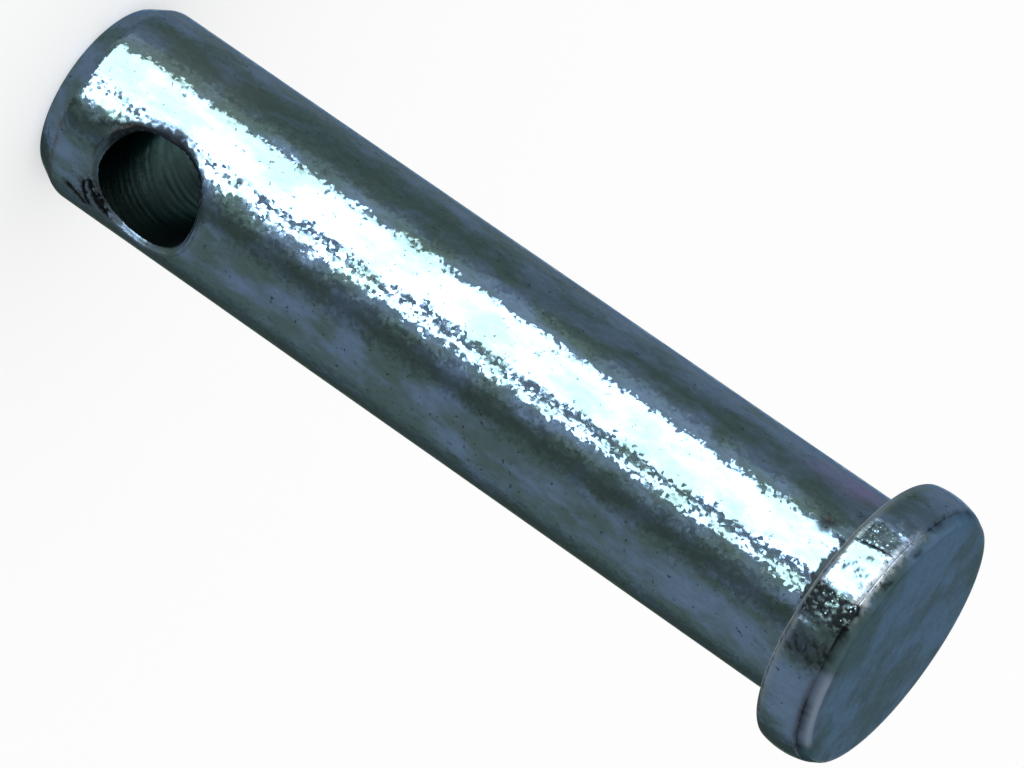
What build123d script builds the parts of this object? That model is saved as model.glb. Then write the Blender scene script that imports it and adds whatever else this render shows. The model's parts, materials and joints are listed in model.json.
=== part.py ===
"""Clevis pin: a round steel pin with a disc head and a cross hole near its free end.

Millimetres. The pin stands on its free end: the origin is the centre of the free end's flat
face, +Z runs along the pin towards the head, and the cross hole runs along Y.

The real pin is upset (cold headed) from round bar, its free end is chamfered on a lathe, and
the cross hole is drilled and deburred last. The model follows the same order: one turned
profile, then one drilled hole with a countersunk mouth on each side.
"""
import os
from math import radians, tan

from build123d import *

# ---- Driving dimensions -------------------------------------------------------------------

# Shank
shank_diameter = 12.0
under_head_length = 51.4        # underside of the head to the free end
root_radius = 0.3               # the fillet between the shank and the underside of the head

# Head, a disc whose rim was pressed into a slight barrel
head_diameter = 16.16           # across the fullest part of the rim
head_height = 3.48
rim_bulge = 0.24                # how far the middle of the rim stands out beyond its two edges
underside_edge_radius = 0.5     # the rounded edge between the underside and the rim
face_bevel_width = 0.36         # the bevel between the rim and the outer face, measured radially
face_bevel_height = 0.65        # the same bevel, measured along the pin
face_edge_radius = 0.3          # where the bevel rolls over into the outer face

# Free end, tapered so that the pin finds its way into a fork
end_taper_width = 0.8           # measured radially
end_taper_height = 1.47         # measured along the pin
end_shoulder_radius = 1.2       # where the taper leaves the shank
end_nose_radius = 0.45          # where the taper meets the flat end face

# Cross hole, for a split pin or a locking clip
hole_diameter = 6.5
hole_to_end = 7.62              # centre of the hole to the free end
mouth_diameter = 7.2            # the countersink, across the shank's crown
mouth_angle = 90.0              # the included angle of the deburring tool


# ---- Sizes that follow --------------------------------------------------------------------

shank_radius = shank_diameter / 2
head_radius = head_diameter / 2
rim_edge_radius = head_radius - rim_bulge
bevel_start = under_head_length + head_height - face_bevel_height
overall_length = under_head_length + head_height


def turned_profile():
    """Half of the pin's section, on the XZ plane, with its edges rounded."""
    end_face = (shank_radius - end_taper_width, 0)
    taper_top = (shank_radius, end_taper_height)
    head_root = (shank_radius, under_head_length)
    underside_edge = (rim_edge_radius, under_head_length)
    rim_middle = (head_radius, (under_head_length + bevel_start) / 2)
    rim_top = (rim_edge_radius, bevel_start)
    face_edge = (rim_edge_radius - face_bevel_width, overall_length)

    with BuildSketch(Plane.XZ) as profile:
        with BuildLine():
            Polyline((0, 0), end_face, taper_top, head_root, underside_edge)
            ThreePointArc(underside_edge, rim_middle, rim_top)
            Polyline(rim_top, face_edge, (0, overall_length), (0, 0))
        make_face()
        for corner, radius in (
            (end_face, end_nose_radius),
            (taper_top, end_shoulder_radius),
            (head_root, root_radius),
            (underside_edge, underside_edge_radius),
            (face_edge, face_edge_radius),
        ):
            fillet(profile.vertices().sort_by_distance(corner)[0], radius)
    return profile.sketch


def cross_hole():
    """The drill's path through the shank, with the deburring cone at both mouths."""
    through = 2 * shank_diameter
    cone_height = mouth_diameter / 2 / tan(radians(mouth_angle / 2))
    drill = Cylinder(hole_diameter / 2, through)
    cone = Cone(0, mouth_diameter / 2, cone_height, align=(Align.CENTER, Align.CENTER, Align.MAX))
    above = Cylinder(
        mouth_diameter / 2,
        shank_radius,
        align=(Align.CENTER, Align.CENTER, Align.MIN),
    )
    mouth = Pos(0, 0, shank_radius) * (cone + above)
    tool = drill + mouth + mouth.rotate(Axis.X, 180)
    return Pos(0, 0, hole_to_end) * tool.rotate(Axis.X, 90)


def clevis_pin():
    blank = revolve(turned_profile(), Axis.Z)
    pin = blank - cross_hole()
    pin.label = "clevis_pin"
    return pin


os.makedirs("parts", exist_ok=True)
pin = clevis_pin()
export_step(pin, "parts/clevis_pin.step")
size = pin.bounding_box().size
print(f"clevis_pin: {size.X:.2f} x {size.Y:.2f} x {size.Z:.2f} mm, {pin.volume / 1000:.3f} cm3")
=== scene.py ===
# %% [markdown]
# # A clevis pin in zinc-plated steel
#
# A clevis pin holds a fork and an eye together and lets them swing. This one is a round bar
# with a disc head, a tapered nose, and a cross hole for a split pin or a spring clip. It is one
# piece of metal, so it is one mesh here as well.
#
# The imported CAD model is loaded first, and everything is set out from it. It stands on its free
# end, with +Z running up towards the head and the cross hole along Y.

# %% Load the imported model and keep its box
import json
import math
import random

import bmesh
import bpy
from mathutils import Matrix, Vector, noise


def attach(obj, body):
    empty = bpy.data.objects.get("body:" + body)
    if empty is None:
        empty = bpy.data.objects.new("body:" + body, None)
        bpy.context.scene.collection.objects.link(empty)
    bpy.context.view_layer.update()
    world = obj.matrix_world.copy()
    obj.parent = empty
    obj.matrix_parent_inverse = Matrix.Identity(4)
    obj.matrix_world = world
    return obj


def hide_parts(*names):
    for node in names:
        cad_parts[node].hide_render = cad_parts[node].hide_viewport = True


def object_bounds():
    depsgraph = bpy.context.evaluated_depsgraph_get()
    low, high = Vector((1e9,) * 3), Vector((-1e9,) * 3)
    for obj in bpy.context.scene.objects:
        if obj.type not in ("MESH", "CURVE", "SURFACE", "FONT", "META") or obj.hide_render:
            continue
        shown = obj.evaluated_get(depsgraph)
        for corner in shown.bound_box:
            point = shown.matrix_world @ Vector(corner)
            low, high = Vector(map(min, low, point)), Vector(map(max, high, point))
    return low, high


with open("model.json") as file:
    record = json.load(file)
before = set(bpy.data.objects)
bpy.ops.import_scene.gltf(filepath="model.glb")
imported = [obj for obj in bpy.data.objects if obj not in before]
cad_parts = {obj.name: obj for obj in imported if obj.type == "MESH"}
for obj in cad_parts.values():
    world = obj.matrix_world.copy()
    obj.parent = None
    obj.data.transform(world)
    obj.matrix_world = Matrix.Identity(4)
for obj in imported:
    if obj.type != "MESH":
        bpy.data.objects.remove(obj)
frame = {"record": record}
cad_low, cad_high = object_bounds()
MM = 0.001
mounts = {m["name"]: m for m in frame["record"]["mounts"]}
print("CAD box, mm:", [round(v / MM, 2) for v in (*cad_low, *cad_high)])

# %% [markdown]
# ## The camera
#
# A small part is seen from far away through a long lens, so that its sides stay nearly parallel.
# The camera looks down by about 19 degrees and is rolled until the pin lies across the picture.
# Three angles and a distance are easier to read and to change than a matrix.

# %% The camera
aim = Vector((0.319, -0.212, 29.2)) * MM
camera_distance = 377.5 * MM
camera_bearing = math.radians(-123.62)      # around +Z, from +X
camera_height_angle = math.radians(19.30)
camera_roll = math.radians(124.82)
sensor_width = 36.0
focal_length = 249.3


def on_sphere(bearing, height_angle, distance=1.0):
    """A point at a distance from the origin, given its bearing and its height angle."""
    flat = math.cos(height_angle)
    way = flat * math.cos(bearing), flat * math.sin(bearing), math.sin(height_angle)
    return Vector(way) * distance


def in_scene(name, data):
    made = bpy.data.objects.new(name, data)
    bpy.context.scene.collection.objects.link(made)
    return made


data = bpy.data.cameras.new("camera")
data.lens, data.sensor_width, data.sensor_fit = focal_length, sensor_width, "HORIZONTAL"
data.clip_start, data.clip_end = 0.01, 20.0
camera = in_scene("camera", data)
towards_camera = on_sphere(camera_bearing, camera_height_angle)
level = towards_camera.to_track_quat("Z", "Y").to_matrix().to_4x4()
stand = Matrix.Translation(aim + towards_camera * camera_distance)
camera.matrix_world = stand @ level @ Matrix.Rotation(camera_roll, 4, "Z")
bpy.context.scene.camera = camera
bpy.context.scene.view_settings.view_transform = "Standard"
print("camera at, mm:", [round(v / MM, 1) for v in camera.matrix_world.translation])

# %% [markdown]
# ## The turned blank
#
# The real pin starts as a round bar. Its head is pressed, and its nose is turned, so every
# section across it is a circle. So half of its outline is drawn and spun about Z. A lathe
# modifier would do the same, but a spin gives plain vertices that the wear can work on. Radii
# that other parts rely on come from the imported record, so they can't drift from the CAD.

# %% Sizes, read from the frame where the frame has them
shank_radius = mounts["shank"]["dims"]["r_mm"]
hole_radius = mounts["cross_hole"]["dims"]["r_mm"]
hole_height = mounts["cross_hole"]["pos_m"][2] / MM
underside = mounts["head_underside"]["pos_m"][2] / MM
top = cad_high.z / MM
head_radius = min(cad_high.x, cad_high.y, -cad_low.x, -cad_low.y) / MM

rim_bulge = 0.24
face_bevel_width = 0.36
face_bevel_height = 0.65
end_taper_width = 0.8
end_taper_height = 1.47
steps_around = 160

rim_edge_radius = head_radius - rim_bulge
bevel_start = top - face_bevel_height
crease_depth = 0.05             # the line that the two halves of the die leave round the head
crease_low, crease_floor, crease_high = -0.09, -0.01, 0.06      # heights from the bevel's start
crease_step = 0.03              # how deep its upper lip still lies
face_rings = (7.1, 6.75, 6.4, 4.8, 3.2, 1.6)       # they only carry the colour of the outer face
outline = [
    (0, 0),
    (shank_radius - end_taper_width, 0),
    (shank_radius, end_taper_height),
    (shank_radius, underside),
    (rim_edge_radius, underside),
    (rim_edge_radius, bevel_start + crease_low),
    (rim_edge_radius - crease_depth, bevel_start + crease_floor),
    (rim_edge_radius - crease_step, bevel_start + crease_high),
    (rim_edge_radius - face_bevel_width, top),
    *((radius, top) for radius in face_rings),
    (0, top),
]
print("outline corners:", len(outline), "overall height, mm:", round(top, 2))

# %% Spin the outline


def spun(points, axis, steps):
    """A closed bmesh from an outline of (radius, distance along the axis), in millimetres."""
    shape = bmesh.new()
    side = Vector((1, 0, 0))
    verts = [shape.verts.new((side * radius + axis * along) * MM) for radius, along in points]
    edges = [shape.edges.new(pair) for pair in zip(verts, verts[1:])]
    bmesh.ops.spin(shape, geom=verts + edges, cent=(0, 0, 0), axis=axis, angle=math.tau,
                   steps=steps, use_merge=True)
    bmesh.ops.remove_doubles(shape, verts=shape.verts[:], dist=0.0001 * MM)
    bmesh.ops.recalc_face_normals(shape, faces=shape.faces[:])
    return shape


blank = spun(outline, Vector((0, 0, 1)), steps_around)
print("blank faces:", len(blank.faces))

# %% [markdown]
# ## Rounded edges
#
# Every edge that a press or a lathe leaves is a little round, and those small radii catch the
# light. Each edge is a ring in the spun mesh, so a bevel on that ring makes the radius. A bevel
# modifier would make them all the same width. The offset of a bevel is measured back from the
# corner, so it is the radius times the tangent of half the turn.

# %% Bevel the rings
rounded_edges = [
    # radius of the ring, its height, radius of the rounding, turn in degrees, segments
    (shank_radius - end_taper_width, 0, 0.45, 61.4, 5),
    (shank_radius, end_taper_height, 1.2, 28.6, 5),
    (shank_radius, underside, 0.3, 90, 4),
    (rim_edge_radius, underside, 0.5, 90, 8),
    (rim_edge_radius - face_bevel_width, top, 0.3, 61, 4),
]


def ring_edges(shape, radius, height, slack=0.001):
    def on_ring(vert):
        flat = math.hypot(vert.co.x, vert.co.y) / MM
        return abs(flat - radius) < slack and abs(vert.co.z / MM - height) < slack
    return [e for e in shape.edges if on_ring(e.verts[0]) and on_ring(e.verts[1])]


for radius, height, rounding, turn, segments in rounded_edges:
    offset = rounding * math.tan(math.radians(turn) / 2) * MM
    bmesh.ops.bevel(blank, geom=ring_edges(blank, radius, height), offset=offset,
                    offset_type="OFFSET", segments=segments, profile=0.5, affect="EDGES",
                    material=-1)
    print("rounded the ring at", round(height, 1), "mm: faces", len(blank.faces))

# %% [markdown]
# ## Rows of faces for the surface to move in
#
# The shank is made of 160 long strips. They are cut into rows about as tall as they are wide, so
# that marks have vertices to push. The rim of the head gets rows as well, and its middle is
# drawn out into the slight barrel that pressing gives it.

# %% Cut the rows and barrel the rim
end_slack, wall_slack = 0.7, 0.5        # how far the ends and the sides of a wall may be off


def rows_between(shape, low, high, near_radius, cuts):
    """Cuts the upright edges that run between two heights on one side wall."""
    def upright(edge):
        a, b = sorted(v.co.z / MM for v in edge.verts)
        flat = math.hypot(edge.verts[0].co.x, edge.verts[0].co.y) / MM
        long_enough = a < low + end_slack and b > high - end_slack
        return long_enough and abs(flat - near_radius) < wall_slack
    edges = [e for e in shape.edges if upright(e)]
    bmesh.ops.subdivide_edges(shape, edges=edges, cuts=cuts, use_grid_fill=True)
    return len(edges)


shank_rows = rows_between(blank, 1.8, underside - 0.3, shank_radius, 200)
rim_rows = rows_between(blank, underside + 0.5, bevel_start, rim_edge_radius, 11)

rim_low, rim_high = underside, bevel_start
for vert in blank.verts:
    flat = math.hypot(vert.co.x, vert.co.y) / MM
    height = vert.co.z / MM
    if flat > shank_radius + 0.8 and rim_low < height < rim_high:
        share = (height - rim_low) / (rim_high - rim_low)
        swell = 4 * rim_bulge * share * (1 - share)
        vert.co.xy *= 1 + swell / flat
print("strips cut:", shank_rows, rim_rows, "faces:", len(blank.faces))

# %% [markdown]
# ## Places on the pin, and finer patches
#
# Wear is easiest to place as a maker would: so many degrees round, and so many millimetres up
# from the free end. The edges of a mark are shaped by a soft range, a bell and a lumpy noise.
# Around a mark and a mouth of the hole the faces are halved a few times, because a scratch a
# few tenths of a millimetre wide needs smaller faces. Elsewhere the mesh stays light.

# %% Bearings, heights and soft edges


def place(point):
    """Bearing in degrees, height and distance from the axis in mm, of a point in metres."""
    bearing = math.degrees(math.atan2(point.y, point.x))
    return bearing, point.z / MM, math.hypot(point.x, point.y) / MM


def patch(low_bearing, high_bearing, low, high, least_radius):
    """A test that says whether a point lies in a patch of the surface."""
    def inside(point):
        bearing, height, radius = place(point)
        return low_bearing < bearing < high_bearing and low < height < high \
            and radius > least_radius
    return inside


def between(value, low, high, soft):
    """1 inside a range, falling to 0 over a soft distance outside it."""
    outside = max(low - value, value - high, 0)
    return max(0.0, 1 - outside / soft)


def clamp(value, low=0.0, high=1.0):
    return max(low, min(high, value))


def bell(off, width, power=2):
    """1 in the middle and 0 far off it; a higher power gives a flatter top."""
    return math.exp(-(off / width) ** power)


def lumpy(point, size):
    """Noise between -1 and 1 with lumps of about a size in mm."""
    return noise.noise(point / (size * MM))


def from_hole_axis(point):
    """How far a point is from the axis of the cross hole, in mm."""
    return math.hypot(point.x / MM, point.z / MM - hole_height)


# %% Finer patches
dish_width = 0.65               # the pressed and drawn-in metal round each mouth of the hole
wall_side, mouth_radius = 0.12, 4.9     # how far into the hole, and from where outwards, it counts


def near_mouth(point):
    off_wall = from_hole_axis(point) - hole_radius
    return -wall_side < off_wall < dish_width and place(point)[2] > mouth_radius


def refine(shape, inside, rounds):
    """Halves the edges of the faces in a patch, as many times as there are rounds."""
    for _ in range(rounds):
        faces = [f for f in shape.faces if inside(f.calc_center_median())]
        edges = list({e for f in faces for e in f.edges})
        bmesh.ops.subdivide_edges(shape, edges=edges, cuts=1, use_grid_fill=True)
    return len(shape.faces)


scratched = patch(-86, -52, 2.3, 6.4, 5.0)
pitted = patch(-129.5, -109, 51.7, 54.4, 7.4)
knocked = patch(-162, -145, 51.6, 54.2, 7.4)
fine_patches = [
    ("scratches", scratched, 2),
    ("pits", pitted, 2),
    ("knock", knocked, 2),
    ("worn part of the crease", patch(-170, -117, 53.7, 54.6, 7.4), 2),
    ("root of the head", patch(-158, -114, 49.7, 50.9, 5.0), 2),
    ("rust spot", patch(-159, -147, 48.4, 49.7, 5.0), 1),
    ("flecks on the rim", patch(-146, -133, 52.1, 53.7, 7.4), 1),
    ("smudge on the rim", patch(-109, -96, 51.9, 54.1, 7.4), 1),
    ("mouths of the hole", near_mouth, 2),
]
for name, inside, rounds in fine_patches:
    print("faces after the patch for the", name, refine(blank, inside, rounds))

# %% [markdown]
# ## Waves of drawn bar
#
# Drawn bar is never quite straight or round. Two hundredths of a millimetre make the edge of a
# reflection wander, which tells the eye that it sees metal. A smooth noise moves each vertex a
# little inwards and never outwards, so the pin stays inside its size.

# %% Push the waves in


def waviness(point, length, along=2.5):
    """Noise between -1 and 1 with waves of about the given length in mm, longer along Z."""
    step = length * MM
    return noise.noise(Vector((point.x, point.y, point.z / along)) / step)


def push_in(vert, depth):
    """Moves a vertex straight towards the axis by a depth in mm."""
    flat = math.hypot(vert.co.x, vert.co.y)
    if flat > 0:
        vert.co.xy *= 1 - depth * MM / flat


wave_depth = 0.012
for vert in blank.verts:
    if place(vert.co)[2] > shank_radius - 1.2:
        swing = 0.65 * waviness(vert.co, 3.2) + 0.35 * waviness(vert.co, 1.1)
        push_in(vert, wave_depth * (1 + clamp(swing, -1.0)))
print("vertices:", len(blank.verts))

# %% [markdown]
# ## The cross hole
#
# The hole is drilled right through. The drill is spun from an outline too, this time about Y.
# Its feed leaves faint, uneven rings in the wall, so the outline's wall has two layers of noise.
# An exact Boolean then cuts the hole, with a clean line where the two curved surfaces meet.

# %% The drill
feed_pitch = 0.30
feed_depth = 0.007
feed_steps = 170
reach = shank_radius + 1
wall = []
for i in range(feed_steps + 1):
    along = -reach + 2 * reach * i / feed_steps
    feed = noise.noise(Vector((along / feed_pitch, 0.3, 0)))
    feed += 0.4 * noise.noise(Vector((3 * along / feed_pitch, 7, 0)))
    wall.append((hole_radius + feed_depth * feed, along))
tool = spun([(0, -reach), *wall, (0, reach)], Vector((0, 1, 0)), 112)
bmesh.ops.translate(tool, verts=tool.verts[:], vec=(0, 0, hole_height * MM))
print("drill faces:", len(tool.faces))

# %% Cut it


def as_object(shape, name):
    mesh = bpy.data.meshes.new(name)
    shape.to_mesh(mesh)
    shape.free()
    return in_scene(name, mesh)


solid_blank, solid_tool = as_object(blank, "blank"), as_object(tool, "drill")
cut = solid_blank.modifiers.new("cut", "BOOLEAN")
cut.operation, cut.solver, cut.object = "DIFFERENCE", "EXACT", solid_tool
graph = bpy.context.evaluated_depsgraph_get()
mesh = bpy.data.meshes.new_from_object(solid_blank.evaluated_get(graph))
mesh.materials.clear()
for used in (solid_blank, solid_tool):
    bpy.data.objects.remove(used)
pin = in_scene("pin", mesh)
shape = bmesh.new()
shape.from_mesh(pin.data)
bmesh.ops.remove_doubles(shape, verts=shape.verts[:], dist=0.0005 * MM)
bmesh.ops.recalc_face_normals(shape, faces=shape.faces[:])
print("pin faces:", len(shape.faces), "open edges:", sum(e.is_boundary for e in shape.edges))

# %% [markdown]
# ## Deburred mouths
#
# A hole through a round bar has a sharp, wavy edge, and someone has run a tool round it. A
# bevel on that edge would trip over the small faces beside it, so vertices are moved instead.
# Each has two depths: under the skin of the shank, and into the metal from the wall of the hole.
# The chamfer is a straight line between the two, and a vertex slides onto it. The metal round
# it is drawn in a little, and on its -X side a mouth is pressed over, towards the hole.
#
# What the surface has lived through is kept in the mesh, as one attribute for each thing that
# the materials show: grime, rust, bare rubbed metal, a dull film, battered (rough) crystals, a
# blue or violet tint, and the share of clean facets that sparkle through a film. In places the
# dark film is painted shade, and the bare coat is painted light or a painted highlight.

# %% Tell the surfaces apart, and make room for the marks
mouth_break = 0.28              # how far the chamfer reaches along each of the two surfaces
bore_index, pressed_index = 1, 2
for face in shape.faces:
    middle = face.calc_center_median()
    deep = place(middle)[2] < shank_radius - 1.1 * mouth_break
    in_hole = from_hole_axis(middle) < hole_radius + 0.1
    on_face = place(middle)[1] > bevel_start + 0.1
    face.material_index = bore_index if deep and in_hole else pressed_index if on_face else 0
    face.smooth = True

# The film and bare marks also carry painted shade and painted light in places.
layer_names = ("grime", "rust", "bare_and_painted_light", "film_and_painted_shade", "rough", "blue", "violet", "sparkle")
grime, rust, bare_and_painted_light, film_and_painted_shade, rough, blue, violet, sparkle = (
    shape.verts.layers.float.new(name) for name in layer_names)


def mark(vert, layer, amount):
    """Keeps the stronger of the mark that a vertex has and a new one."""
    vert[layer] = max(vert[layer], amount)


print("marks:", shape.verts.layers.float.keys())

# %% Slide a vertex onto the chamfer
skin = 0.05                     # what lies less deep than this is on the surface


def slide(vert, out, across, reach, under_skin, from_wall):
    """Moves a vertex onto the chamfer, and returns how far across it lies, from -1 to 1."""
    share = (under_skin - from_wall) / reach
    if abs(share) < 1:
        out.normalize()
        across.normalize()
        deeper = reach * (1 + share) / 2 - under_skin
        wider = reach * (1 - share) / 2 - from_wall
        lean = out.dot(across)
        along_out = (-deeper - lean * wider) / (1 - lean * lean)
        along_across = (wider + lean * deeper) / (1 - lean * lean)
        vert.co += (out * along_out + across * along_across) * MM
    return share


# %% Dirt, wear and painted shade at a mouth


def wear_mouth(vert, share, side, across, under_skin, from_wall):
    """Dirt on the -X side of a mouth, where side is -1, rubbed metal on the +X side, and a dark film
    that is painted shade round the -X side and on the chamfer.
    """
    heavy = max(0.0, -side)
    lip = max(0.0, side) * (1 - min(1.0, under_skin / 0.4))
    lip *= clamp((vert.co.z / MM - 5.15) / 0.4)
    patchy = 0.4 + 0.8 * lumpy(vert.co, 1.4)
    ring = 0.5 * bell(share + 1.1, 0.3) + 0.6 * bell(share - 1.0, 0.25)
    burr = bell(from_wall - 0.47, 0.05) * max(0.0, across.z / max(across.length, MM))
    if under_skin > skin:
        burr = 0.0
    edge_dirt = 0.85 * heavy * between(under_skin, 0.06, 0.45, 0.08)
    mark(vert, grime, max(edge_dirt, min(1.0, ring * patchy * (1 - 0.8 * lip) + 0.4 * burr)))
    ragged = from_wall + 0.25 * lumpy(vert.co, 0.3)
    # Painted shade: the dark film round the -X side and over the chamfer darkens the edge of the
    # hole.
    ring_shade = heavy * 0.9 * between(ragged, 0.0, 0.44, 0.1)
    mark(vert, film_and_painted_shade, max(ring_shade, 0.5 * max(0.0, 1 - abs(share) ** 4)) * (1 - 0.2 * lip))
    rubbed = 1 - min(1.0, abs(from_wall - 0.1) / 0.45)
    mark(vert, bare_and_painted_light, 0.1 * lip * rubbed * (0.8 + 0.5 * lumpy(vert.co, 0.4)))
    mark(vert, rough, lip * min(1.0, 2 * rubbed))


# %% Work round both mouths
dish_depth = 0.022
roll_in, roll_width = 0.30, 0.35        # how far the edge is pressed over, and how wide that is
roll_sharpness = 6.4            # how quickly that fades away from the -X side
moved = 0
for vert in shape.verts:
    if not near_mouth(vert.co):
        continue
    out = Vector((vert.co.x, vert.co.y, 0))
    across = Vector((vert.co.x, 0, vert.co.z - hole_height * MM))
    towards_x = across.x / max(across.length, MM)
    side = clamp(2 * towards_x, -1.0)
    heavy = max(0.0, -side)
    rolled = math.exp(-roll_sharpness * (1 + towards_x))
    reach = mouth_break * (1 + 0.35 * lumpy(vert.co, 1.3) + 0.45 * heavy - 0.9 * rolled)
    under_skin = max(0.0, shank_radius - wave_depth - out.length / MM)
    from_wall = max(0.0, across.length / MM - hole_radius)
    if under_skin > skin and from_wall > skin:
        continue
    if under_skin < skin:
        dish = dish_depth * (1 + 1.3 * heavy)
        push_in(vert, dish * max(0.0, 1 - from_wall / dish_width) ** 2)
    share = slide(vert, out, across, reach, under_skin, from_wall)
    near_edge = math.exp(-(under_skin ** 2 + from_wall ** 2) / roll_width ** 2)
    vert.co -= across.normalized() * (roll_in * rolled * near_edge * MM)
    wear_mouth(vert, share, side, across, under_skin, from_wall)
    moved += abs(share) < 1
print("vertices on the chamfers:", moved)

# %% Painted shade and dirt on the wall of the bore
unshaded_height, shaded_height = -3.0, -1.4       # heights from the hole's axis, in mm: from the first to the second the wall is painted darker, as shade
coated = 0
for vert in shape.verts:
    in_bore = from_hole_axis(vert.co) <= hole_radius + 0.05
    if in_bore and place(vert.co)[2] <= shank_radius - 0.3:
        share = (vert.co.z / MM - hole_height - unshaded_height) / (shaded_height - unshaded_height)
        rings = lumpy(Vector((0.1 * vert.co.x, vert.co.y, 0.1 * vert.co.z)), feed_pitch)
        # Painted shade: the wall of the bore is darker towards the head, and the feed rings hold
        # dirt.
        vert[film_and_painted_shade] = clamp(0.22 + 0.45 * clamp(share) + 0.35 * rings, high=0.9)
        coated += 1
print("vertices on the wall of the bore:", coated)

# %% [markdown]
# ## Scratches by the cross hole
#
# Something hard was dragged across the nose below the hole and left a few short gouges. Each is
# a line of places. A vertex is pushed in by how near it is to the line, in the bell shape that a
# worn tip leaves, and is marked with dirt by the same nearness. A Boolean cut would give a
# sharper groove, and a much worse mesh.

# %% Cut the scratches
scratches = [
    # half width, depth, and the places that the line passes: bearing and height
    (0.20, 0.08, ((-62.5, 2.75), (-61.0, 3.15), (-58.8, 3.50), (-55.5, 3.85))),
    (0.19, 0.08, ((-72.5, 3.80), (-66.0, 3.92), (-57.6, 4.20))),
    (0.27, 0.10, ((-75.0, 4.25), (-69.5, 4.50), (-64.0, 4.85), (-59.0, 5.45))),
    (0.20, 0.06, ((-70.0, 4.95), (-67.0, 5.05), (-61.0, 5.42))),
]


def on_pin(bearing, height, radius):
    """The point in metres at a bearing, a height and a distance from the axis."""
    angle = math.radians(bearing)
    return Vector((radius * math.cos(angle), radius * math.sin(angle), height)) * MM


def line_on_pin(places, radius):
    return [on_pin(bearing, height, radius) for bearing, height in places]


def distance_to_line(point, line):
    """How far a point is from a chain of straight runs, in mm."""
    best = 1e9
    for start, end in zip(line, line[1:]):
        run = end - start
        share = max(0, min(1, (point - start).dot(run) / run.length_squared))
        best = min(best, (point - start - run * share).length)
    return best / MM


lines = [(width, depth, line_on_pin(places, shank_radius)) for width, depth, places in scratches]
for vert in [v for v in shape.verts if scratched(v.co)]:
    start = vert.co.copy()
    for half_width, depth, line in lines:
        away = distance_to_line(start, line) / (half_width * (1 + lumpy(start, 0.17)))
        push_in(vert, depth * bell(away, 1))
        mark(vert, grime, min(1, 1.3 * bell(away, 1)))
        mark(vert, grime, 0.5 * bell(away, 2.0))
        mark(vert, rust, 0.3 * bell(away, 1.8))
print("dirty vertices:", sum(v[grime] > 0.3 for v in shape.verts))

# %% [markdown]
# ## The pitted patch and the knock on the head
#
# The rim has a rough, dark patch, and further round it has been knocked flat. In the patch the
# vertices are pushed in by a coarse noise and covered in soot, and small flats stay clean. They
# are scattered with a seeded random generator, so that they fall in the same places every time.
# The knock is a real flat: what stands out past a plane is pushed back to it. A dark film over
# the flat is painted shade, and clean facets sparkle through it.

# %% Roughen the patch
scatter = random.Random(11)
flat_count = 22
flat_depth = 0.03               # how far the flats lie inside the rim
placed_flats = (
    # bearing, height and radius of the largest flats
    (-120.6, 52.82, 0.13), (-122.2, 53.30, 0.12), (-121.9, 53.79, 0.09), (-123.9, 53.84, 0.12),
    (-125.7, 54.11, 0.12), (-126.0, 53.05, 0.15), (-126.5, 53.39, 0.14))
flats = [(on_pin(bearing, height, head_radius - flat_depth), size)
         for bearing, height, size in placed_flats]
while len(flats) < flat_count:
    bearing = scatter.uniform(-126.5, -115.0)
    height = scatter.uniform(52.2, 54.0)
    flats.append((on_pin(bearing, height, head_radius - flat_depth), scatter.uniform(0.04, 0.07)))
patch_low, pits_end, patch_high = -128.0, -114.0, -109.5        # bearings
patch_depth = 0.04
for vert in [v for v in shape.verts if pitted(v.co)]:
    start = vert.co.copy()
    clean = max(bell((start - middle).length / MM, size, 6) for middle, size in flats)
    drawn = Vector((start.x, start.y, 0.55 * start.z))
    lumps = lumpy(drawn, 0.17)
    bearing = place(start)[0] + 1.2 * lumpy(start, 0.5)
    cover = clamp((bearing - patch_low) / 2) * (1 - clean)
    pits = cover * clamp((pits_end - bearing) / 2.5)
    push_in(vert, patch_depth * pits * clamp(0.5 + 0.9 * lumps))
    mark(vert, grime, clamp(0.7 * lumpy(drawn, 0.19) - 0.12, high=0.6) * pits)
    smeared = clamp(1.0 - 1.6 * max(0.0, lumps - 0.12), low=0.5)
    smear = cover * clamp((patch_high - bearing) / 3)
    mark(vert, film_and_painted_shade, smear * (smeared if pits > 0.1 else 0.85))
    mark(vert, rough, max(pits, 0.5 * smear))
    mark(vert, sparkle, 0.06 * smear)
print("flats in the patch:", len(flats))

# %% Knock the rim
knock_places = ((-147.8, 52.25), (-148.5, 52.83), (-149.0, 53.30), (-149.3, 53.85))
knock = line_on_pin(knock_places, head_radius)
flat_bearing, flat_end = -151.0, -160.0     # the way that the flat faces, and where it runs out
knock_depth = 0.03
for vert in [v for v in shape.verts if knocked(v.co)]:
    start = vert.co.copy()
    near = bell(distance_to_line(start, knock), 0.10 * (1 + 0.8 * lumpy(start, 0.2)))
    bearing, height, radius = place(start)
    past_line = -147.3 - 1.1 * (height - 52.0) - bearing
    beyond = clamp(past_line / 0.5) * between(height, 52.0, 53.7, 0.35)
    edge_of_flat = radius * math.cos(math.radians(flat_end - flat_bearing))
    proud = max(0.0, radius - edge_of_flat / math.cos(math.radians(bearing - flat_bearing)))
    push_in(vert, knock_depth * near + proud * beyond)
    mark(vert, grime, min(0.85, near))
    mark(vert, rust, near * clamp(height - 52.9))
    # Painted shade: a dark film over the flat stands for a face turned away from the lamps.
    cover = beyond * clamp((bearing + 1.5 * lumpy(start, 0.3) - flat_end) / 1.5)
    mark(vert, film_and_painted_shade, 0.85 * cover)
    share = 0.8 - 0.4 * (height - 52.2) + 0.5 * lumpy(start, 0.35)
    mark(vert, sparkle, cover * clamp(share, 0.05, 0.95))
print("knock marked, at bearings from", flat_bearing, "to", flat_end)
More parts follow.
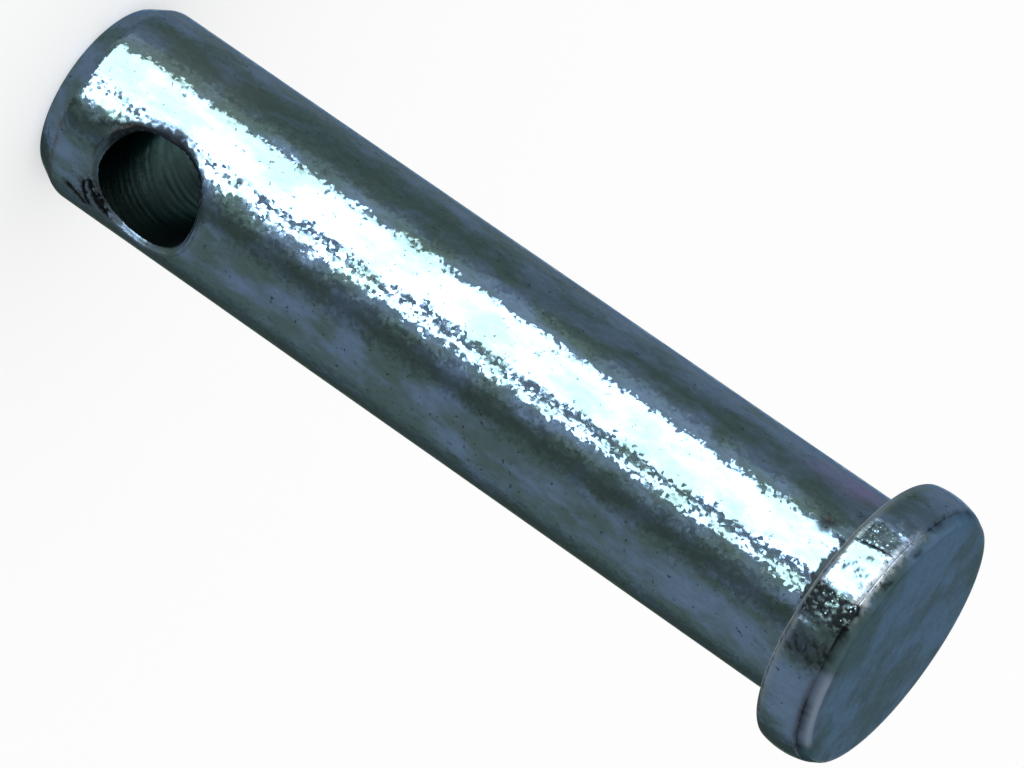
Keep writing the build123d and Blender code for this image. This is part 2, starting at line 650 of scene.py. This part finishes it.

# %% [markdown]
# ## The edges of the head
#
# Dirt collects in the crease round the head, thicker in some places than in others. Where the
# head has rubbed, the crease is worn away: the metal stands as far out as the rim, and it is
# bare and too scuffed to mirror anything. Where the main lamp's reflection falls, the bare coat
# is made stronger, so that the worn band is in part a painted highlight. The edge under the head
# is scuffed all the way round, and its underside is painted lighter, as painted light in its
# shadow. All of it is painted on the vertices, as a texture can't know where the edges are.

# %% Dirt in the crease, and where it is worn away
crease_height = bevel_start + crease_floor
worn_from, worn_to = -120, -166         # bearings between which the crease is worn away
for vert in shape.verts:
    bearing, height, radius = place(vert.co)
    if radius < rim_edge_radius - 0.25 or abs(height - crease_height) > 0.6:
        continue
    worn = between(bearing, worn_to, worn_from, 4)
    packed = between(bearing, -121, -108, 6)
    soft = between(bearing, -93, -45, 6)
    uneven = max(0.0, 1.6 * lumpy(vert.co, 0.6) - 0.2)
    thick = (0.45 + 0.5 * packed - 0.35 * soft + uneven) * (1 - worn)
    past_start = max(0.0, height - bevel_start)
    whole = rim_edge_radius - wave_depth - past_start * face_bevel_width / face_bevel_height
    if height < bevel_start + 0.1:
        push_in(vert, -worn * max(0.0, whole - radius))
    mark(vert, grime, min(0.95, thick) * bell(height - crease_height, 0.07 + 0.06 * thick))
    smear = soft * bell(height - crease_height, 0.22)
    ragged = height - crease_height - 0.04 + 0.15 * lumpy(vert.co, 0.25)
    rubbed = bell(ragged, 0.42 if ragged < 0 else 0.2, 4)
    patchy = 0.85 + 0.5 * lumpy(vert.co, 0.5)
    # In part a painted highlight: the bare coat is stronger where the main lamp's reflection falls.
    bright = 0.35 + 0.65 * between(bearing, -147, -126, 8)
    mark(vert, film_and_painted_shade, max(0.4 * smear, 0.3 * worn * rubbed))
    mark(vert, rust, 0.3 * smear)
    mark(vert, bare_and_painted_light, min(1.0, 0.7 * worn * rubbed * patchy * bright))
    mark(vert, rough, worn * rubbed)
    mark(vert, sparkle, 0.15 * worn * rubbed)
print("worn vertices:", sum(v[rough] > 0.5 for v in shape.verts))

# %% The scuffed edge under the head with painted light on its underside, and a painted highlight on the bevel
for vert in shape.verts:
    bearing, height, radius = place(vert.co)
    if radius > rim_edge_radius - 0.9 and height < underside + 0.8:
        edge = bell(height - underside - 0.28, 0.3)
        # Painted light: the bare coat on the head's underside and the foot of its rounding lifts
        # their shadow.
        painted_light_underneath = between(height, 0, underside + 0.12, 0.15)
        mark(vert, bare_and_painted_light, max(0.3 * edge * (0.8 + 0.5 * lumpy(vert.co, 1.2)), 0.8 * painted_light_underneath))
        mark(vert, rough, max(0.6 * edge, painted_light_underneath))
    if 7.3 < radius < rim_edge_radius - 0.1 and height > bevel_start + 0.15:
        # Painted highlight: over these bearings the bevel is paler and more violet, as a painted
        # reflection.
        highlight_stripe = between(bearing, -94, -56, 5)
        mark(vert, bare_and_painted_light, 0.36 * highlight_stripe)
        mark(vert, violet, 0.12 * highlight_stripe)
print("bare vertices:", sum(v[bare_and_painted_light] > 0.3 for v in shape.verts))

# %% [markdown]
# ## Stains and rust
#
# A hand has left a smudge on the rim. Just under the head the shank is darkened in a ragged band,
# as painted shade under the head. Thin brown lines show where the plating has let go, by the
# mouth, on the taper and near the head. A stain has a ragged edge, so its edge is moved in and out
# by noise.

# %% Smudge the rim, and paint shade under the head
for vert in shape.verts:
    bearing, height, radius = place(vert.co)
    if radius > head_radius - 0.4 and -112 < bearing < -94:
        smudge = 0.5 + 0.7 * lumpy(vert.co, 0.6) + 1.1 * lumpy(vert.co, 0.22)
        thumb = between(bearing, -106.5, -99, 4)
        mark(vert, grime, clamp(smudge, high=0.9) * thumb)
        mark(vert, rust, 0.12 * thumb)
    # Painted shade: a ragged band of the shank just under the head is darkened with the film.
    if abs(radius - shank_radius) < 0.3 and underside - 1.8 < height < underside:
        ragged = height + 0.3 * lumpy(vert.co, 0.45) + 0.12 * lumpy(vert.co, 0.13)
        root_shade_low = underside - 0.65 - 0.5 * between(bearing, -175, -152, 4)
        darkening = between(ragged, root_shade_low, underside, 0.08) * between(bearing, -151, -114, 3)
        mark(vert, film_and_painted_shade, darkening)
print("filmed vertices:", sum(v[film_and_painted_shade] > 0.5 for v in shape.verts))

# %% Let it rust
rust_lines = [
    # half width, strength, and the places that the line passes
    (0.17, 0.6, ((-156.3, 49.38), (-157.1, 49.5))),
    (0.13, 0.25, ((-107.6, 4.25), (-114.5, 4.85), (-119.0, 5.65), (-121.5, 6.6), (-123.5, 7.9))),
    (0.30, 0.35, ((-62.0, 3.0), (-58.0, 4.2), (-57.0, 5.2))),
    (0.14, 0.8, ((-100.0, 1.35), (-85.0, 1.5), (-64.0, 1.5), (-50.0, 1.45))),
]
rusty = [(width, strength, line_on_pin(places, shank_radius))
         for width, strength, places in rust_lines]
for vert in shape.verts:
    bearing, height, radius = place(vert.co)
    if abs(radius - shank_radius) < 0.45 and (height < 9 or 48.5 < height < 50.5):
        for half_width, strength, line in rusty:
            away = distance_to_line(vert.co, line) / half_width
            if away < 3:
                darkening = strength * (0.8 + 0.7 * lumpy(vert.co, 0.4)) * bell(away, 1)
                mark(vert, rust, clamp(darkening))
                if height > 40:
                    mark(vert, film_and_painted_shade, clamp(2 * darkening))
print("rusty vertices:", sum(v[rust] > 0.3 for v in shape.verts))

# %% Dull flecks, painted shade by the hole, and a brown ring on the outer face
flecks = [
    # half width, strength, radius, and the places that the line passes
    (0.10, 1.0, head_radius, ((-134.6, 52.32), (-136.9, 52.45))),
    (0.10, 1.0, head_radius, ((-138.0, 52.55), (-139.4, 52.75))),
    (0.11, 1.0, head_radius, ((-137.0, 53.00), (-138.8, 53.25))),
    (0.09, 1.0, head_radius, ((-134.8, 53.20), (-136.0, 53.40))),
    (0.10, 1.0, head_radius, ((-137.4, 53.62), (-139.4, 53.80))),
    (0.16, 0.9, head_radius, ((-133.6, 53.62), (-131.4, 53.95))),
    (0.09, 0.9, head_radius, ((-143.3, 53.05), (-144.3, 53.25))),
    (0.50, 0.92, shank_radius, ((-152.3, 49.50), (-154.8, 49.45))),
    # Not a fleck: this dark line along the top of the hole is painted shade beside its mouth.
    (0.24, 1.0, shank_radius, ((-109.8, 3.55), (-112.8, 4.2), (-116.3, 4.95), (-119.6, 5.6))),
    (0.20, 0.9, 7.65, ((-138.2, 54.55), (-141.0, 54.70))),
    (0.22, 0.8, 7.65, ((-157.5, 54.80), (-159.5, 54.85))),
]
fleck_length = 2.8
for half_width, strength, radius, places in flecks:
    line = line_on_pin(places, radius)
    for vert in shape.verts:
        if (vert.co - line[0]).length < fleck_length * MM:
            away = (distance_to_line(vert.co, line) + 0.12 * lumpy(vert.co, 0.15)) / half_width
            mark(vert, film_and_painted_shade, strength * bell(max(0.0, away), 1, 4))

brown_middle, brown_half = 6.95, 0.3    # a ring where the bevel has rolled over
for vert in shape.verts:
    bearing, height, radius = place(vert.co)
    if height > top - 0.2 and abs(radius - brown_middle) < 3 * brown_half:
        patchy = max(0.0, 0.45 + 0.5 * lumpy(vert.co, 0.8))
        mark(vert, rust, patchy * bell(radius - brown_middle, brown_half)
             * between(bearing, -95, -50, 15))
print("flecks:", len(flecks))

# %% [markdown]
# ## Listed tints
#
# The passivation is thinner where pins lay on each other in the bath, so some places are bluer
# and some greener than chance would make them. Each is a soft round spot that pushes the colour
# one way. The rows of green spots along the shank are painted reflections instead: long, darker
# bands of the surroundings, at fixed bearings. Two spots are violet.

# %% Tint the plating
nose_green, green_reflection_band, edge_green, spot_blue = -0.7, -0.6, -0.8, 0.9
tints = [
    # layer, strength, size in mm, and the middle: bearing, height, distance from the axis
    *((blue, spot_blue, size, bearing, height, shank_radius) for size, bearing, height in (
        (0.5, -85, 2.4), (1.3, -82, 14.0), (1.3, -84, 18.6), (1.1, -88, 22.0), (1.4, -83, 27.6),
        (1.1, -75, 29.4), (1.3, -74, 42.0), (1.4, -81, 46.0), (1.3, -74, 49.0), (2.2, 170, 32.5),
        (2.4, 171, 38.5), (2.6, 171, 46.5), (1.0, -88, 36.0), (1.0, -86, 40.5), (1.5, -159, 28.5))),
    # Painted reflections: these rows make long, darker green bands of the surroundings along the
    # shank.
    *((blue, green_reflection_band, 1.6, -96, height, shank_radius) for height in range(15, 50, 3)),
    *((blue, edge_green, 1.6, -60, height, shank_radius) for height in range(9, 51, 3)),
    *((blue, green_reflection_band, 1.6, -170, height, shank_radius) for height in range(6, 51, 3)),
    *((blue, nose_green, size, bearing, height, shank_radius) for size, bearing, height in (
        (0.9, -100, 2.6), (0.9, -76, 2.8), (0.8, -84, 4.0), (1.6, -179, 10), (1.6, -179, 14),
        (1.2, -76, 24.6), (1.0, -86, 11.8), (1.2, -100, 11.8), (1.2, -179, 22), (1.2, -76, 37),
        (1.6, -135, 3.5), (1.5, -140, 6), (0.9, -72, 0.8), (0.9, -58, 0.8), (1.5, -97, 13.1),
        (1.1, -58, 1.5))),
    *((blue, spot_blue, 1.3, bearing, 53.4, head_radius) for bearing in (-84, -75, 168)),
    *((blue, 1.4, 0.8, bearing, 54.6, 7.7) for bearing in (-92, -84, -76, -68, -60)),
    *((blue, green_reflection_band, 1.4, bearing, 53.2, head_radius) for bearing in (-102, -162, -178)),
    *((blue, spot_blue, 2.4, bearing, top, 6.0) for bearing in (-162, -178, 165)),
    *((blue, edge_green, 2.0, bearing, top, 6.5) for bearing in (-137, -122, -108)),
    *((bare_and_painted_light, 0.06, 1.8, -166, height, shank_radius) for height in (3.5, 6, 8.5)),
    (violet, 0.7, 1.3, 169, 49.3, shank_radius),
    (violet, 0.4, 0.9, 174, 47.0, shank_radius),
]
middles = [(layer, strength, size, on_pin(*middle)) for layer, strength, size, *middle in tints]
for vert in shape.verts:
    for layer, strength, size, middle in middles:
        away = (vert.co - middle).length / (size * MM)
        if away < 2:
            vert[layer] += strength * bell(away, 1)
print("tinted spots:", len(middles))

# %% [markdown]
# ## Smooth faces and sharp edges
#
# The faces are shaded smooth, and the shading breaks where two of them meet at more than the
# crease angle, as the metal does.

# %% Mark the sharp edges and hand the pin over
crease_angle = math.radians(30)
bmesh.ops.recalc_face_normals(shape, faces=shape.faces[:])
for edge in shape.edges:
    edge.smooth = edge.calc_face_angle(0) < crease_angle
shape.to_mesh(pin.data)
shape.free()
triangles = sum(len(p.vertices) - 2 for p in pin.data.polygons)
print("sharp edges:", sum(e.use_edge_sharp for e in pin.data.edges), "triangles:", triangles)

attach(pin, "root")
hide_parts("clevis_pin")

# %% [markdown]
# ## The finish, in shared effects
#
# Zinc plating with a blue passivation drifts between grey-green and blue in soft patches. Its
# crystals scatter a reflection into specks, and some stay clean where a film covers the rest.
# All surfaces of the pin show this, only stronger or weaker, so each effect is a node group with
# named inputs. The patterns read Object coordinates, in metres, so sizes can be in millimetres.

# %% Helpers for nodes


def fill(tree, node, inputs):
    """Sets inputs of a node to values, or links them to output sockets."""
    for name, source in dict(inputs).items():
        if hasattr(source, "is_linked"):
            tree.links.new(source, node.inputs[name])
        else:
            node.inputs[name].default_value = source
    return node


def add(tree, kind, inputs=(), **settings):
    made = tree.nodes.new(kind)
    for name, value in settings.items():
        setattr(made, name, value)
    return fill(tree, made, inputs)


def maths(tree, operation, *terms, **settings):
    return add(tree, "ShaderNodeMath", enumerate(terms), operation=operation, **settings).outputs[0]


def vectors(tree, operation, *terms):
    return add(tree, "ShaderNodeVectorMath", enumerate(terms), operation=operation).outputs[0]


def scaled(tree, vector, by):
    """A vector or a colour times a number."""
    return add(tree, "ShaderNodeVectorMath", {0: vector, "Scale": by}, operation="SCALE").outputs[0]


def ramp(tree, value, start=(0.0, 1.0), end=(0.0, 1.0), **settings):
    """A value taken from one range to another, and held at the ends."""
    ends = zip(("From Min", "From Max", "To Min", "To Max"), (*start, *end))
    return add(tree, "ShaderNodeMapRange", {"Value": value, **dict(ends)}, **settings).outputs[0]


def blend(tree, amount, under, over):
    """One colour laid over another by an amount."""
    return add(tree, "ShaderNodeMix", {0: amount, 6: under, 7: over}, data_type="RGBA").outputs[2]


def cloudy(tree, where, scale, detail, roughness):
    """Soft noise between 0 and 1."""
    values = {"Vector": where, "Scale": scale, "Detail": detail, "Roughness": roughness}
    return add(tree, "ShaderNodeTexNoise", values).outputs["Fac"]


def new_group(name, inputs, outputs):
    """A shader node group with named sockets, and its two end nodes."""
    tree = bpy.data.node_groups.new(name, "ShaderNodeTree")
    for label, kind, value in inputs:
        socket = tree.interface.new_socket(label, in_out="INPUT", socket_type=kind)
        socket.default_value = value
    for label, kind in outputs:
        tree.interface.new_socket(label, in_out="OUTPUT", socket_type=kind)
    return tree, tree.nodes.new("NodeGroupInput"), tree.nodes.new("NodeGroupOutput")


def scaled_place(tree, size, stretch):
    """Object coordinates divided by a size in mm, and drawn out along the pin."""
    where = add(tree, "ShaderNodeTexCoord").outputs["Object"]
    along = maths(tree, "DIVIDE", 1.0, stretch)
    ratio = add(tree, "ShaderNodeCombineXYZ", {"X": 1.0, "Y": 1.0, "Z": along}).outputs[0]
    return scaled(tree, vectors(tree, "MULTIPLY", where, ratio), maths(tree, "DIVIDE", 1 / MM, size))


# %% [markdown]
# ## The crystal grain
#
# Each small crystal leans its own way, so each cell of a Voronoi pattern tilts the normal by its
# own random colour. A height would round the cells off, and a tilt keeps them flat. The slow
# waves of the plating are a height in millimetres, for a Bump node. Specks have gone dull.

# %% Crystals and waves
VALUE, COLOUR, VECTOR = "NodeSocketFloat", "NodeSocketColor", "NodeSocketVector"
grain, grain_in, grain_out = new_group(
    "plating grain",
    [("Crystal Size", VALUE, 0.15), ("Crystal Slope", VALUE, 0.05), ("Wave Size", VALUE, 0.6),
     ("Wave Height", VALUE, 0.03), ("Speck Share", VALUE, 0.1)],
    [("Height", VALUE), ("Normal", VECTOR), ("Specks", VALUE)],
)
crystal_place = scaled_place(grain, grain_in.outputs["Crystal Size"], 1.15)
crystals = add(grain, "ShaderNodeTexVoronoi", {"Vector": crystal_place, "Scale": 1.0})
lean = vectors(grain, "SUBTRACT", crystals.outputs["Color"], (0.5, 0.5, 0.5))
leaning = scaled(grain, lean, grain_in.outputs["Crystal Slope"])
own_normal = add(grain, "ShaderNodeNewGeometry").outputs["Normal"]
facet = vectors(grain, "NORMALIZE", vectors(grain, "ADD", own_normal, leaning))
waves = cloudy(grain, scaled_place(grain, grain_in.outputs["Wave Size"], 1.3), 1.0, 1.5, 0.5)
height = maths(grain, "MULTIPLY", waves, grain_in.outputs["Wave Height"])

# %% Dull specks, in the same group
speckle = cloudy(grain, crystal_place, 0.6, 4.0, 0.65)
least = maths(grain, "SUBTRACT", 0.75, grain_in.outputs["Speck Share"])
specks = ramp(grain, speckle, (least, maths(grain, "ADD", least, 0.03)))
fill(grain, grain_out, {"Height": height, "Normal": facet, "Specks": specks})

# %% Clean facets that show through a film
facets, facets_in, facets_out = new_group(
    "clean facets", [("Size", VALUE, 0.1), ("Share", VALUE, 0.0)], [("Mask", VALUE)])
facet_place = scaled_place(facets, facets_in.outputs["Size"], 1.0)
cells = add(facets, "ShaderNodeTexVoronoi", {"Vector": facet_place, "Scale": 1.0})
draw = add(facets, "ShaderNodeSeparateColor", {0: cells.outputs["Color"]}).outputs[0]
chosen = maths(facets, "LESS_THAN", draw, facets_in.outputs["Share"])
small = maths(facets, "LESS_THAN", cells.outputs["Distance"], 0.4)
fill(facets, facets_out, {"Mask": maths(facets, "MULTIPLY", chosen, small)})

# %% The drift of the plating's colour
drift, drift_in, drift_out = new_group(
    "plating colour",
    [("Dull", COLOUR, (0.05, 0.08, 0.08, 1)), ("Bright", COLOUR, (0.08, 0.12, 0.17, 1)),
     ("Size", VALUE, 1.5), ("Stretch", VALUE, 2.0), ("Blue", VALUE, 0.0)],
    [("Color", COLOUR), ("Patches", VALUE)],
)
drift_place = scaled_place(drift, drift_in.outputs["Size"], drift_in.outputs["Stretch"])
clouds = cloudy(drift, drift_place, 1.0, 3.5, 0.55)
swayed = maths(drift, "MULTIPLY_ADD", drift_in.outputs["Blue"], 0.16, clouds)
patches = ramp(drift, swayed, (0.34, 0.66), interpolation_type="SMOOTHSTEP")
tone = blend(drift, patches, drift_in.outputs["Dull"], drift_in.outputs["Bright"])
shade = ramp(drift, cloudy(drift, drift_place, 5.0, 3.0, 0.6), (0.3, 0.7), (0.9, 1.1))
fill(drift, drift_out, {"Color": scaled(drift, tone, shade), "Patches": patches})
print("groups:", [g.name for g in bpy.data.node_groups])

# %% [markdown]
# ## Three materials from the shared effects
#
# The outside, the bore and the pressed face are the same plating. The bath reaches less well
# into the bore, and dirt stays in it, so it is darker, less blue and rougher. The pressed face
# has lower waves and larger patches of colour. On all three, what the marks left in the mesh is
# laid over the plating, the lowest coat first. The specular tint is what a metal shows at a
# glancing angle. A dull film darkens it, so it is set below white.

# %% What the marks look like
# In places the dark film is laid on as painted shade, and the bare coat as painted light.
coats = {
    "violet": (0.135, 0.105, 0.215),
    "bare_and_painted_light": (0.27, 0.29, 0.30),
    "film_and_painted_shade": (0.0062, 0.0088, 0.0100),
    "rust": (0.050, 0.030, 0.026),
    "grime": (0.0035, 0.0040, 0.0042),
}
added_roughness = {"rust": 0.4, "grime": 0.3, "film_and_painted_shade": 0.2, "bare_and_painted_light": 0.1, "rough": 0.35}
speck_shade, speck_roughness = 0.32, 0.25
dull_roughness = 0.04           # what the dull patches add
rough_slope = 0.22              # how far the crystals lean where the surface is battered
clean_facet_size = 0.15


def new_material(name):
    """A material, its node tree and its Principled shader."""
    material = bpy.data.materials.new(name)
    material.use_nodes = True
    return material, material.node_tree, material.node_tree.nodes["Principled BSDF"]


def painted_marks(tree):
    """The marks on the mesh by name, and the same with the clean facets left out of them."""
    marks = {name: add(tree, "ShaderNodeAttribute", attribute_name=name).outputs["Fac"]
             for name in layer_names}
    dots = add(tree, "ShaderNodeGroup",
               {"Size": clean_facet_size, "Share": marks["sparkle"]}, node_tree=facets)
    covered = maths(tree, "SUBTRACT", 1.0, dots.outputs["Mask"])
    broken = {name: maths(tree, "MULTIPLY", marks[name], covered)
              for name in ("film_and_painted_shade", "bare_and_painted_light", "rough")}
    return marks, {**marks, **broken}


print("coats, lowest first:", list(coats))

# %% Mix a material


def plated(name, dull, bright, patch_size, roughness, glancing, grain_values):
    """Plated metal: two tones in patches, grain that breaks up reflections, dirt and wear."""
    material, tree, shader = new_material(name)
    marks, broken = painted_marks(tree)
    colour = add(tree, "ShaderNodeGroup",
                 {"Dull": (*dull, 1), "Bright": (*bright, 1), "Size": patch_size, "Stretch": 2.2,
                  "Blue": marks["blue"]}, node_tree=drift)
    slope = ramp(tree, marks["rough"], end=(grain_values[1], rough_slope))
    names = ("Crystal Size", "Crystal Slope", "Wave Size", "Wave Height", "Speck Share")
    crystals = add(tree, "ShaderNodeGroup",
                   {**dict(zip(names, grain_values)), "Crystal Slope": slope}, node_tree=grain)
    specks = crystals.outputs["Specks"]

    coat = scaled(tree, colour.outputs["Color"], ramp(tree, specks, end=(1.0, speck_shade)))
    for layer_name, layer_colour in coats.items():
        coat = blend(tree, broken[layer_name], coat, (*layer_colour, 1))
    sheen = ramp(tree, colour.outputs["Patches"], end=(roughness + dull_roughness, roughness))
    sheen = maths(tree, "MULTIPLY_ADD", specks, speck_roughness, sheen)
    for layer_name, more in added_roughness.items():
        sheen = maths(tree, "MULTIPLY_ADD", broken[layer_name], more, sheen)
    relief = add(tree, "ShaderNodeBump",
                 {"Height": crystals.outputs["Height"], "Normal": crystals.outputs["Normal"],
                  "Strength": 1.0, "Distance": MM}).outputs[0]
    fill(tree, shader, {"Base Color": coat, "Roughness": sheen, "Normal": relief,
                        "Metallic": 1.0, "Specular Tint": (*glancing, 1)})
    return material


finishes = [
    # name, dull and bright tone, size of the patches, roughness, colour at a glancing angle, and
    # the grain: size and slope of the crystals, size and height of the waves, share of specks
    ("zinc plating", (0.054, 0.088, 0.090), (0.083, 0.130, 0.198), 1.5, 0.07,
     (0.54, 0.58, 0.61), (0.19, 0.08, 1.2, 0.058, 0.11)),
    ("zinc plating in the bore", (0.040, 0.068, 0.066), (0.050, 0.086, 0.086), 0.8, 0.16,
     (0.42, 0.48, 0.48), (0.15, 0.03, 0.6, 0.006, 0.0)),
    ("zinc plating on the pressed face", (0.050, 0.086, 0.092), (0.080, 0.140, 0.215), 2.6, 0.16,
     (0.42, 0.46, 0.50), (0.19, 0.03, 1.2, 0.012, 0.04)),
]
for finish in finishes:         # in the order that the faces count them
    pin.data.materials.append(plated(*finish))
print("materials:", [m.name for m in pin.data.materials])

# %% [markdown]
# ## World and floor
#
# The floor is a pale sheet in a white room. The pin is seen from above, so what its upright
# sides mirror lies below the level of the floor. The floor is therefore left out of reflections,
# as a sheet of clear glass would be, and still takes the pin's shadow. To the camera half of it
# is plain white, so that the shadow stays as faint as on a sheet that is lit from below too.

# %% World and floor
world = bpy.data.worlds.new("white room")
bpy.context.scene.world = world
world.use_nodes = True
background = world.node_tree.nodes["Background"]
fill(world.node_tree, background, {"Color": (1, 1, 1, 1), "Strength": 1.0})


def flat_sheet(name, size):
    """A square sheet that isn't part of the pin, flat on Z = 0 until it is placed."""
    shape = bmesh.new()
    bmesh.ops.create_grid(shape, x_segments=1, y_segments=1, size=size / 2)
    sheet = as_object(shape, name)
    return sheet


floor = flat_sheet("floor", 3.0)
floor.visible_glossy = floor.visible_shadow = False
pale, pale_tree, pale_shader = new_material("pale floor")
fill(pale_tree, pale_shader, {"Base Color": (0.97, 0.97, 0.97, 1), "Roughness": 0.9,
                              "Specular IOR Level": 0.0})
daylight = 0.5                  # the share of the floor that is plain white to the camera
light_path = add(pale_tree, "ShaderNodeLightPath")
white = add(pale_tree, "ShaderNodeEmission", {"Color": (1, 1, 1, 1), "Strength": 1.0})
seen = light_path.outputs["Is Camera Ray"]
for ray in ("Is Glossy Ray", "Is Transmission Ray"):
    seen = maths(pale_tree, "ADD", seen, light_path.outputs[ray], use_clamp=True)
floor_mix = add(pale_tree, "ShaderNodeMixShader",
                {0: maths(pale_tree, "MULTIPLY", seen, daylight), 1: pale_shader.outputs[0],
                 2: white.outputs[0]})
fill(pale_tree, pale_tree.nodes["Material Output"], {"Surface": floor_mix.outputs[0]})
floor.data.materials.append(pale)
print("floor:", floor.name, "white share:", daylight)

# %% [markdown]
# ## Lamps and cards
#
# Metal shows what is around it, so a metal part is lit by what it reflects. A broad soft lamp
# gives the bright band along the shank, a thin one the streak beside it, and a low, flat one lies
# across the gap between the two. Cards give the darker bands. They are solid in the middle and
# clear at their sides, so that a band fades out. Two bright ones glow beside the lamps. Those
# behind the pin end low down, because the outer face of the head would mirror them.

# %% Where a lamp or a card stands
stand_distance = 0.5            # metres from the pin's axis
pin_middle = 27 * MM


def upright(from_bearing, to_bearing, low_angle, high_angle):
    """Place, width and height of a sheet; bearings are counted from the camera's."""
    middle = (from_bearing + to_bearing) / 2
    half = math.radians(to_bearing - from_bearing) / 2
    low = stand_distance * math.tan(math.radians(low_angle))
    high = stand_distance * math.tan(math.radians(high_angle))
    way = on_sphere(camera_bearing + math.radians(middle), 0)
    centre = way * stand_distance + Vector((0, 0, pin_middle + (low + high) / 2))
    aimed = way.to_track_quat("Z", "Y").to_matrix().to_4x4()
    return Matrix.Translation(centre) @ aimed, 2 * stand_distance * math.tan(half), high - low


# %% Helpers for lamps and cards


def soft_lamp(name, from_bearing, to_bearing, low_angle, high_angle, brightness):
    """An upright lamp; brightness is how many times whiter than white it looks."""
    where, width, height = upright(from_bearing, to_bearing, low_angle, high_angle)
    data = bpy.data.lights.new(name, "AREA")
    data.shape = "RECTANGLE"
    data.size, data.size_y = width, height
    data.energy = brightness * math.pi * width * height
    lamp = in_scene(name, data)
    lamp.matrix_world = where
    lamp.visible_camera = lamp.visible_diffuse = False
    print(name, "width and height, m:", round(width, 3), round(height, 3))


def graded_card(name, middle, spread, shade, low_angle=-60, high_angle=25):
    """An upright card that only reflections see, solid in the middle and clear at its sides."""
    where, width, height = upright(middle - spread, middle + spread, low_angle, high_angle)
    sheet = flat_sheet(name, 1.0)
    sheet.data.transform(Matrix.Diagonal((width, height, 1, 1)))
    sheet.matrix_world = where
    sheet.visible_camera = sheet.visible_diffuse = sheet.visible_shadow = False
    paint, tree, _ = new_material(name)
    tree.nodes.clear()
    across = add(tree, "ShaderNodeSeparateXYZ",
                 {0: add(tree, "ShaderNodeTexCoord").outputs["Object"]})
    off_middle = maths(tree, "ABSOLUTE", across.outputs["X"])
    cover = ramp(tree, off_middle, (0.0, width / 2), (1.0, 0.0), interpolation_type="SMOOTHSTEP")
    clear = add(tree, "ShaderNodeBsdfTransparent")
    solid = add(tree, "ShaderNodeEmission", {"Color": (*shade, 1)})
    surface = add(tree, "ShaderNodeMixShader",
                  {0: cover, 1: clear.outputs[0], 2: solid.outputs[0]})
    add(tree, "ShaderNodeOutputMaterial", {"Surface": surface.outputs[0]})
    sheet.data.materials.append(paint)
    print(name, "width and height, m:", round(width, 3), round(height, 3))


# %% Stand them round the pin
soft_lamp("main lamp", -53.5, -7.3, -42, 20, 12.8)
soft_lamp("thin lamp", 3.7, 11, -42, 20, 12.8)
soft_lamp("low lamp", -7, 21, -30, -23.5, 16)
graded_card("card on the upper side", -98, 32, (0.70, 0.72, 0.68))
graded_card("glow beside the main lamp", -62, 14, (1.7, 1.7, 1.6))
graded_card("card on the lower side", 42, 24, (0.48, 0.48, 0.45))
graded_card("glow beside the thin lamp", 19, 10, (1.5, 1.5, 1.5))
graded_card("card behind, lower side", 163, 48, (0.12, 0.17, 0.14), high_angle=3)
graded_card("card behind, upper side", 200, 20, (0.32, 0.53, 0.78), high_angle=3)
